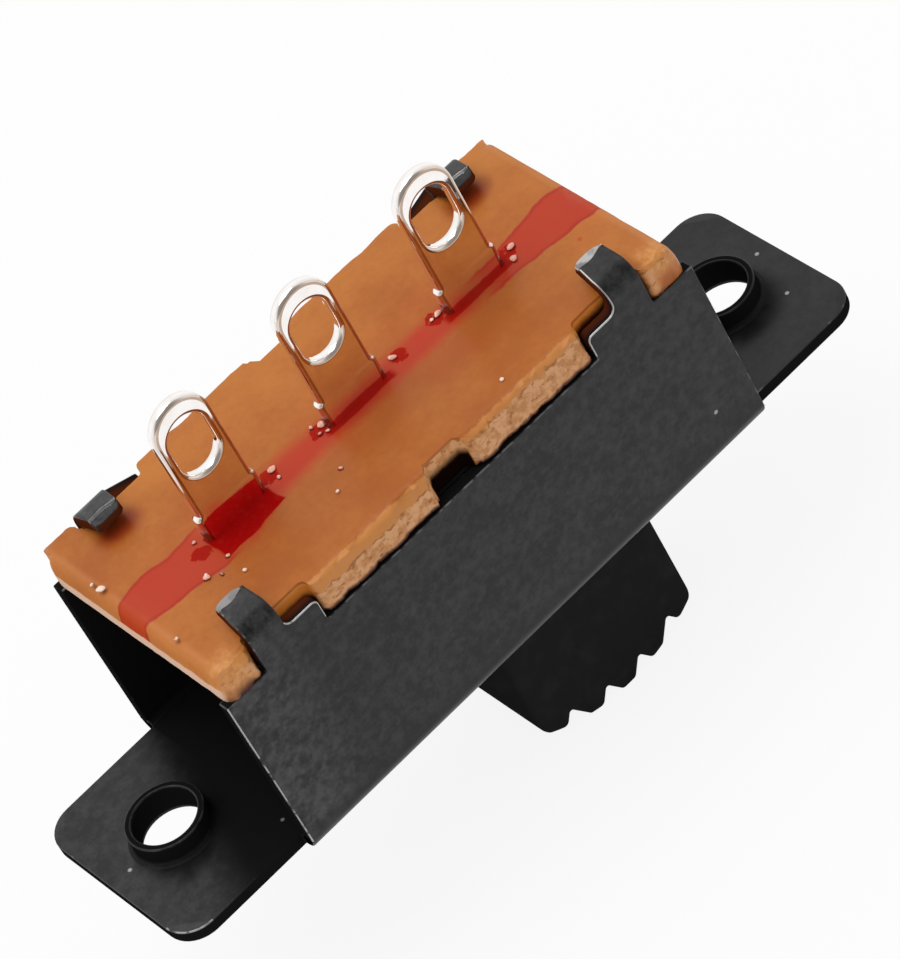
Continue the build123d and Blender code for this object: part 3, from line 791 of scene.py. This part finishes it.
def buildFrame():
    bm = bmesh.new()
    wear = bm.faces.layers.float.new("edgeWear")
    rubbed = bm.faces.layers.float.new("rubbed")
    struck = bm.faces.layers.float.new("struck")
    dull = bm.faces.layers.float.new("dull")
    side, fold = -frameLow.y, sheet["foldInside"] + sheet["thickness"]
    top = sheet["seat"] - sheet["seatRecess"]
    marks = [sheet[key] for key in ("slotEnd", "shoulderInner", "tabInner", "tabOuter", "channelEnd")]
    columns = [-mark for mark in reversed(marks)] + marks
    row = chain(bm, [(x, -side, top) for x in columns])
    row = pull(bm, row, (0, 0, fold - top))
    row = turn(bm, row, (0, fold - side, fold), pi / 2, sheet["foldSteps"])
    flat = [sheet["earSetback"], side - fold - sheet["earSetback"] - sheet["slotSide"], 2 * sheet["slotSide"]]
    for width in flat + flat[1::-1]:
        row = pull(bm, row, (0, width, 0))
    row = turn(bm, row, (0, side - fold, fold), pi / 2, sheet["foldSteps"])
    pull(bm, row, (0, 0, top - fold))
    slot = [
        face for face in bm.faces
        if abs(face.calc_center_median().x) < sheet["slotEnd"]
        and abs(face.calc_center_median().y) < sheet["slotSide"] and near(face.calc_center_median().z, 0)
    ]
    bmesh.ops.delete(bm, geom=slot, context="FACES")
    for wall in (-side, side):
        raiseWall(bm, wall)
    for end in (-1, 1):
        addEar(bm, end)
    bmesh.ops.remove_doubles(bm, verts=bm.verts, dist=0.0005)
    bmesh.ops.recalc_face_normals(bm, faces=bm.faces)
    floorFace = min(bm.faces, key=lambda face: face.calc_center_median().z)
    inwards = -sheet["thickness"] if floorFace.normal.z > 0 else sheet["thickness"]
    outside = set(bm.verts)
    bmesh.ops.solidify(bm, geom=list(bm.faces), thickness=inwards)
    bm.normal_update()

    # sheared rims are dull, as matte cut edges and as painted shade; the inside of the channel is dull and
    # dark as painted shade
    for face in bm.faces:
        skins = {vert in outside for vert in face.verts}
        inside = skins == {False} and abs(face.calc_center_median().x) < sheet["channelEnd"]
        if len(skins) == 2 or inside and face.calc_center_median().z < sheet["seat"]:
            face[dull] = 1.0
    strikeTabs(bm, struck, dull)
    shoulders = [
        edge for edge in bm.edges
        if abs(edge.verts[0].co.y - edge.verts[1].co.y) > 0.5 * sheet["thickness"]
        and any(near(middle(edge).z, sheet["shoulderTop"] + rise) for rise in (0, sheet["farRise"]))
        and near(abs(middle(edge).x), sheet["shoulderInner"])
    ]
    roundEdges(bm, shoulders, sheet["shoulderRadius"], 4)

    # open the holes' rims and weld the collars in
    rims = [
        face for face in bm.faces
        if all(
            near((Vector((abs(vert.co.x), vert.co.y)) - Vector((sheet["holeAt"], 0))).length,
                 sheet["holeRadius"] + sheet["collarWall"] + sheet["collarRoot"])
            for vert in face.verts
        ) and abs(face.normal.z) < 0.5
    ]
    bmesh.ops.delete(bm, geom=rims, context="FACES_ONLY")
    for end in (-1, 1):
        addCollar(bm, end)
    bmesh.ops.remove_doubles(bm, verts=bm.verts, dist=0.0005)
    bmesh.ops.recalc_face_normals(bm, faces=bm.faces)

    slotCorners = [
        edge for edge in bm.edges
        if near(abs(middle(edge).x), sheet["slotEnd"]) and near(abs(middle(edge).y), sheet["slotSide"])
        and abs(edge.verts[0].co.z - edge.verts[1].co.z) > 0.1
    ]
    roundEdges(bm, slotCorners, sheet["slotCorner"], 5)
    for face in roundEdges(bm, sharpEdges(bm, 50), sheet["edgeRadius"], 2, clamp=False):
        at = face.calc_center_median()
        face[wear] = 1.0
        # painted shade: the rounded edges at the far left end of the channel are dull and dark
        face[dull] = 1.0 if at.x < 0.1 - sheet["channelEnd"] and at.y > 0 and at.z > 0.7 else 0.0
        face[rubbed] = handled(at)
    for vert in bm.verts:
        vert.co.y = min(max(vert.co.y, frameLow.y), frameHigh.y)  # no rounded corner overshoots the walls
    return finishPiece(bm, "frame_sheet", [blackSteel()], "housing", ["frame"])


# Terminal board: a punched outline, mirrored from one quarter
board = {
    "middleNotchFlat": 0.7, "middleNotchWidth": 1.1, "middleNotchDepth": 0.6,
    "notchInner": 6.65, "notchOuter": 9.75, "notchDepth": 0.65,
    "notchCorner": 0.25, "outerCorner": 0.5, "toothCorner": 0.3,
    "edgeStep": 0.12, "edgeRows": 7, "edgeRough": 0.2, "chipDepth": 0.22, "roll": 0.32, "farShift": 0.13,
    "cell": 0.8, "strips": (0.6, 2.6, 4.4, 4.9),  # where the flat faces are cut into cells
}


def sliceTop(bm, normal, places):
    # cuts the flat faces into cells, so that their shading stays even up to the torn edge
    for place in places:
        flat = [face for face in bm.faces if abs(face.normal.z) > 0.5]
        parts = dict.fromkeys(part for face in flat for part in list(face.verts) + list(face.edges))
        bmesh.ops.bisect_plane(
            bm, geom=flat + list(parts), dist=0.0001, plane_co=normal * (place + 0.0131), plane_no=normal,
        )


def buildBoard():
    bm = bmesh.new()
    end, side = boardHigh.x, boardHigh.y
    quarter = [
        (0, side - board["middleNotchDepth"]), (board["middleNotchFlat"], side - board["middleNotchDepth"]),
        (board["middleNotchWidth"], side), (board["notchInner"], side),
        (board["notchInner"], side - board["notchDepth"]), (board["notchOuter"], side - board["notchDepth"]),
        (board["notchOuter"], side), (end, side), (end, 0),
    ]
    chain(bm, [(x, y, boardLow.z) for x, y in quarter])
    for axis in "XY":
        bmesh.ops.mirror(bm, geom=bm.verts[:] + bm.edges[:], merge_dist=0.001, axis=axis)
    bmesh.ops.remove_doubles(bm, verts=bm.verts, dist=0.001)
    bmesh.ops.contextual_create(bm, geom=bm.edges[:])
    outer = [vert for vert in bm.verts if near(abs(vert.co.x), end) and near(abs(vert.co.y), side)]
    roundCorners(bm, outer, board["outerCorner"], 4)
    inner = [
        vert for vert in bm.verts
        if near(abs(vert.co.y), side - board["notchDepth"]) and abs(vert.co.x) > board["notchInner"] - 0.01
    ]
    roundCorners(bm, inner, board["notchCorner"], 3)
    teeth = [
        vert for vert in bm.verts if near(abs(vert.co.y), side)
        and any(near(abs(vert.co.x), place) for place in (board["notchInner"], board["notchOuter"]))
    ]
    roundCorners(bm, teeth, board["toothCorner"], 4)
    for edge in list(bm.edges):
        cuts = int(edge.calc_length() / board["edgeStep"])
        if cuts:
            bmesh.ops.subdivide_edges(bm, edges=[edge], cuts=cuts)
    lifted = bmesh.ops.extrude_face_region(bm, geom=list(bm.faces), use_keep_orig=True)
    bmesh.ops.translate(bm, vec=(0, 0, boardHigh.z - boardLow.z), verts=newVerts(lifted))
    upright = [edge for edge in bm.edges if abs(edge.verts[0].co.z - edge.verts[1].co.z) > 0.1]
    bmesh.ops.subdivide_edges(bm, edges=upright, cuts=board["edgeRows"] - 1)
    bmesh.ops.recalc_face_normals(bm, faces=bm.faces)
    cuts = int((end - 2 * board["roll"]) / board["cell"])
    sliceTop(bm, Vector((1, 0, 0)), [place * board["cell"] for place in range(-cuts, cuts + 1)])
    sliceTop(bm, Vector((0, 1, 0)), [way * y for y in board["strips"] for way in (-1, 1)])
    sides = [face for face in bm.faces if abs(face.normal.z) < 0.5]

    # the punched long sides are torn, and the ends roll over
    bm.normal_update()
    pushed = {}
    for face in sides:
        for vert in face.verts:
            out = Vector((face.normal.x, face.normal.y, 0))
            pushed[vert] = pushed.get(vert, Vector()) + out
    for vert, out in pushed.items():
        level = (vert.co.z - boardLow.z) / (boardHigh.z - boardLow.z)
        torn = 1.0 if abs(vert.co.y) > side - 0.2 and abs(vert.co.x) < end - 0.2 else 0.15
        torn *= 0.3 if vert.co.y > 0 else 1.0
        rolled = 1.0 if abs(vert.co.x) > end - 0.2 else 0.0
        rough = max(0.0, 0.3 - noise.fractal(vert.co * 1.5, 0.7, 2.0, 4))
        lumpy = 0.5 + noise.noise(vert.co * 0.9 + Vector((5, 0, 0)))
        vert.co += out.normalized() * -torn * board["edgeRough"] * (0.6 * rough + 0.9 * lumpy * level ** 3)
        vert.co += out.normalized() * -rolled * board["roll"] * level ** 4
        if near(level, 1):
            vert.co.z -= torn * board["chipDepth"] * (0.25 + max(0.0, lumpy - 0.35)) + 0.1 * rolled
    for vert in bm.verts:
        vert.co.y += board["farShift"] if vert.co.y > 4.2 else 0.0
    nodes = ["terminal_board"]
    return finishPiece(bm, "board_laminate", [phenolic()], "housing", nodes, angle=70)


# Solder lugs: an eyed tail over a wider stem, a foot and a blade under the board
lug = {
    "tailHalf": 1.275, "stemHalf": 1.425, "stemRise": 1.0, "nubSlope": 0.24, "nubSteps": 6,
    "eyeHalf": 0.85, "eyeLow": 12.5, "eyeHigh": 15.15, "footHalf": 1.8, "footDrop": 0.7,
    "bladeHalf": 1.4, "bladeCorner": 0.5, "edgeRadius": 0.18,
}


def buildLug(name):
    low, high = boxInMm(f"terminal_{name}")
    centre = (low.x + high.x) / 2
    stemTop = boardHigh.z + lug["stemRise"]
    bm = bmesh.new()
    half = [
        (0, high.z), (lug["tailHalf"], high.z), (lug["tailHalf"], boardLow.z - 0.02),
        (lug["footHalf"], boardLow.z - 0.02), (lug["footHalf"], boardLow.z - lug["footDrop"]),
        (lug["bladeHalf"], boardLow.z - lug["footDrop"]), (lug["bladeHalf"], low.z), (0, low.z),
    ]
    chain(bm, [(x, low.y, z) for x, z in half])
    bmesh.ops.mirror(bm, geom=bm.verts[:] + bm.edges[:], merge_dist=0.001, axis="X")
    bmesh.ops.remove_doubles(bm, verts=bm.verts, dist=0.001)
    bmesh.ops.contextual_create(bm, geom=bm.edges[:])
    for reach, level, rounding, segments in (
        (lug["tailHalf"], high.z, lug["tailHalf"] - 0.01, 14),
        (lug["bladeHalf"], low.z, lug["bladeCorner"], 5),
    ):
        corners = [vert for vert in bm.verts if near(abs(vert.co.x), reach) and near(vert.co.z, level)]
        roundCorners(bm, corners, rounding, segments)
    bmesh.ops.delete(bm, geom=list(bm.faces), context="FACES_ONLY")

    # the eye is a slot with round ends
    eyeLow, eyeHigh = lug["eyeLow"], lug["eyeHigh"]
    eye = chain(bm, [(way * lug["eyeHalf"], low.y, z) for way, z in (
        (-1, eyeLow), (1, eyeLow), (1, eyeHigh), (-1, eyeHigh), (-1, eyeLow),
    )])
    eyeVerts = vertsOf(eye)
    bmesh.ops.remove_doubles(bm, verts=eyeVerts, dist=0.001)
    eyeVerts = [vert for vert in eyeVerts if vert.is_valid]
    bmesh.ops.contextual_create(bm, geom=eyeVerts)
    roundCorners(bm, eyeVerts, lug["eyeHalf"] - 0.01, 12)
    bmesh.ops.delete(bm, geom=list(bm.faces), context="FACES_ONLY")
    bmesh.ops.triangle_fill(bm, use_beauty=True, use_dissolve=False, edges=bm.edges[:])
    thick = bmesh.ops.extrude_face_region(bm, geom=list(bm.faces), use_keep_orig=True)
    bmesh.ops.translate(bm, vec=(0, high.y - low.y, 0), verts=newVerts(thick))
    bmesh.ops.recalc_face_normals(bm, faces=bm.faces)
    bmesh.ops.dissolve_limit(bm, angle_limit=radians(1), verts=bm.verts[:], edges=bm.edges[:])
    edgeReflection = bm.faces.layers.float.new("edgeReflection")
    rim = bm.faces.layers.float.new("rim")
    rounded = roundEdges(bm, sharpEdges(bm, 60), lug["edgeRadius"], 3, clamp=False)
    bm.normal_update()
    # painted reflection: the rounded edges are marked darker, most where they turn towards the faces
    for face in rounded:
        lean = abs(face.normal.y)
        face[edgeReflection] = 1.0 if lean > 0.85 else 0.5 if lean > 0.5 else 0.2
    for face in bm.faces:
        face[rim] = 1.0 if abs(face.normal.y) < 0.9 else 0.0
    for step in range(lug["nubSteps"] + 1):
        level = stemTop + lug["nubSlope"] * step / lug["nubSteps"]
        bmesh.ops.bisect_plane(
            bm, geom=bm.verts[:] + bm.edges[:] + bm.faces[:], dist=0.0001,
            plane_co=(0, 0, level), plane_no=(0, 0, 1),
        )
    for vert in bm.verts:
        up = min(max((vert.co.z - stemTop) / lug["nubSlope"], 0.0), 1.0)
        if boardLow.z < vert.co.z and abs(vert.co.x) > 0.8:
            vert.co.x *= 1 + (lug["stemHalf"] / lug["tailHalf"] - 1) * (1 - up * up * (3 - 2 * up))
    bmesh.ops.translate(bm, vec=(centre, 0, 0), verts=bm.verts)
    return finishPiece(bm, f"lug_{name}", [tin], "housing", [f"terminal_{name}"], angle=40)


# Spatter of lacquer and resin round the feet of the lugs
drops = {
    "squat": 0.75, "lumpy": 0.35,
    "large": [
        (8.06, 0.16), (7.72, -0.4), (2.07, 0.22), (-3.9, 0.29), (-8.54, -1.42), (-11.1, 1.86), (4.41, 0.24),
        (-1.5, 0.23),
    ],
    "small": [
        (4.1, 0.23), (-1.8, 0.47), (-1.54, -0.24), (-1.8, -0.07), (-3.98, -0.22), (-7.75, 0.32),
        (-7.44, -1.35), (-8.11, -1.8), (-7.51, -2.45), (-11.15, 2.33), (-11.0, -2.6), (-2.46, -2.07),
        (-3.23, -2.81), (3.57, -4.42),
    ],
    "largeRadius": 0.145, "smallRadius": 0.09,
}


def buildDrops():
    bm = bmesh.new()
    for radius, places in ((drops["largeRadius"], drops["large"]), (drops["smallRadius"], drops["small"])):
        for count, (x, y) in enumerate(places):
            made = bmesh.ops.create_icosphere(bm, subdivisions=3, radius=radius)["verts"]
            for vert in made:
                vert.co *= 1 + drops["lumpy"] * noise.noise(vert.co / radius + Vector((3.1 * x, 3.1 * y, 0)))
            bmesh.ops.scale(bm, vec=(1.2, 0.95, drops["squat"]), verts=made)
            bmesh.ops.rotate(bm, cent=(0, 0, 0), matrix=Matrix.Rotation(1.1 * count, 3, "Z"), verts=made)
            bmesh.ops.translate(bm, vec=(x, y, boardHigh.z + 0.25 * radius), verts=made)
    return finishPiece(bm, "lacquer_drops", [beadLacquer()], "housing", [], angle=60)


tin = tinPlate()
buildFrame()
buildBoard()
for name in ("left", "centre", "right"):
    buildLug(name)
buildDrops()
for node, material in (("slider", blackPlastic()), ("moving_contact", rolledBronze())):
    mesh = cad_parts[node].data
    mesh.materials.clear()
    mesh.materials.append(material)


# Floor, light and camera
studio = {
    "floorColour": 0.94, "floorHalf": 4.0, "glow": 0.88, "fill": 0.62,
    "panelSize": 0.30, "panelPower": 0.55, "panelPlace": (-0.06, 0.06, 0.34),
    "darkSide": (-0.24, -0.689, 0.684), "darkFrom": 0.3, "darkTo": 0.85, "darkness": 0.65,
}


def buildFloor():
    bm = bmesh.new()
    bmesh.ops.create_grid(bm, x_segments=1, y_segments=1, size=studio["floorHalf"])
    bmesh.ops.translate(bm, vec=(0, 0, cadBox[0][2]), verts=bm.verts)
    mesh = bpy.data.meshes.new("floor")
    bm.to_mesh(mesh)
    bm.free()
    floor = bpy.data.objects.new("floor", mesh)
    bpy.context.scene.collection.objects.link(floor)
    look = Finish("palePaper")
    look.surface({"Base Color": grey(studio["floorColour"]), "Roughness": 1.0, "Specular IOR Level": 0.0})
    path = look.add("ShaderNodeLightPath", {}, {}).socket.node
    seen = Wire(look, path.outputs["Is Camera Ray"]).atLeast(Wire(look, path.outputs["Is Glossy Ray"]))
    glow = look.add("ShaderNodeEmission", {}, {"Color": grey(1.0), "Strength": 1.0})
    look.cover(seen * studio["glow"], glow)
    mesh.materials.append(look.material)


def lightScene():
    # a white tent whose front, where the camera looks in, is dim in reflections
    tent = Finish("whiteTent", bpy.data.worlds)
    bpy.context.scene.world = tent.material
    path = tent.add("ShaderNodeLightPath", {}, {}).socket.node
    seen, mirrored = Wire(tent, path.outputs["Is Camera Ray"]), Wire(tent, path.outputs["Is Glossy Ray"])
    towards = tent.add("ShaderNodeTexCoord", {}, {}, "Generated")
    facing = tent.add(
        "ShaderNodeVectorMath", {"operation": "DOT_PRODUCT"}, {0: towards, 1: studio["darkSide"]}, "Value"
    )
    dim = studio["darkness"] * tent.rise(facing, studio["darkFrom"], studio["darkTo"])
    level = studio["fill"] + (1.0 - studio["fill"]) * seen + (1.0 - studio["fill"] - dim) * mirrored
    tent.surface({"Color": grey(1.0), "Strength": level})
    panel = bpy.data.lights.new("softPanel", "AREA")
    panel.size = studio["panelSize"]
    panel.energy = studio["panelPower"]
    lamp = bpy.data.objects.new("softPanel", panel)
    lamp.location = studio["panelPlace"]
    lamp.rotation_euler = (Vector((0, 0, 0)) - lamp.location).to_track_quat("-Z", "Y").to_euler()
    bpy.context.scene.collection.objects.link(lamp)


view = {
    "at": (-53.468, -158.691, 161.252),
    "right": (0.70146, -0.61003, -0.36852),
    "up": (0.67125, 0.39171, 0.62927),
    "focalPixels": 6365.34,
    "middle": (453.83, 478.01),
    "picture": (900, 959),
    "sensor": 36.0,
}


def placeCamera():
    camera = bpy.data.cameras.new("photoView")
    width, height = view["picture"]
    longSide = max(width, height)
    camera.sensor_width = view["sensor"]
    camera.lens = view["focalPixels"] * view["sensor"] / longSide
    camera.shift_x = (width / 2 - view["middle"][0]) / longSide
    camera.shift_y = (view["middle"][1] - height / 2) / longSide
    holder = bpy.data.objects.new("photoView", camera)
    right, up = Vector(view["right"]), Vector(view["up"])
    turned = Matrix((right, up, right.cross(up))).transposed().to_4x4()
    holder.matrix_world = Matrix.Translation(Vector(view["at"]) * mm) @ turned
    bpy.context.scene.collection.objects.link(holder)
    bpy.context.scene.camera = holder


buildFloor()
lightScene()
placeCamera()
bpy.context.scene.view_settings.view_transform = "Standard"
print("stage ready")
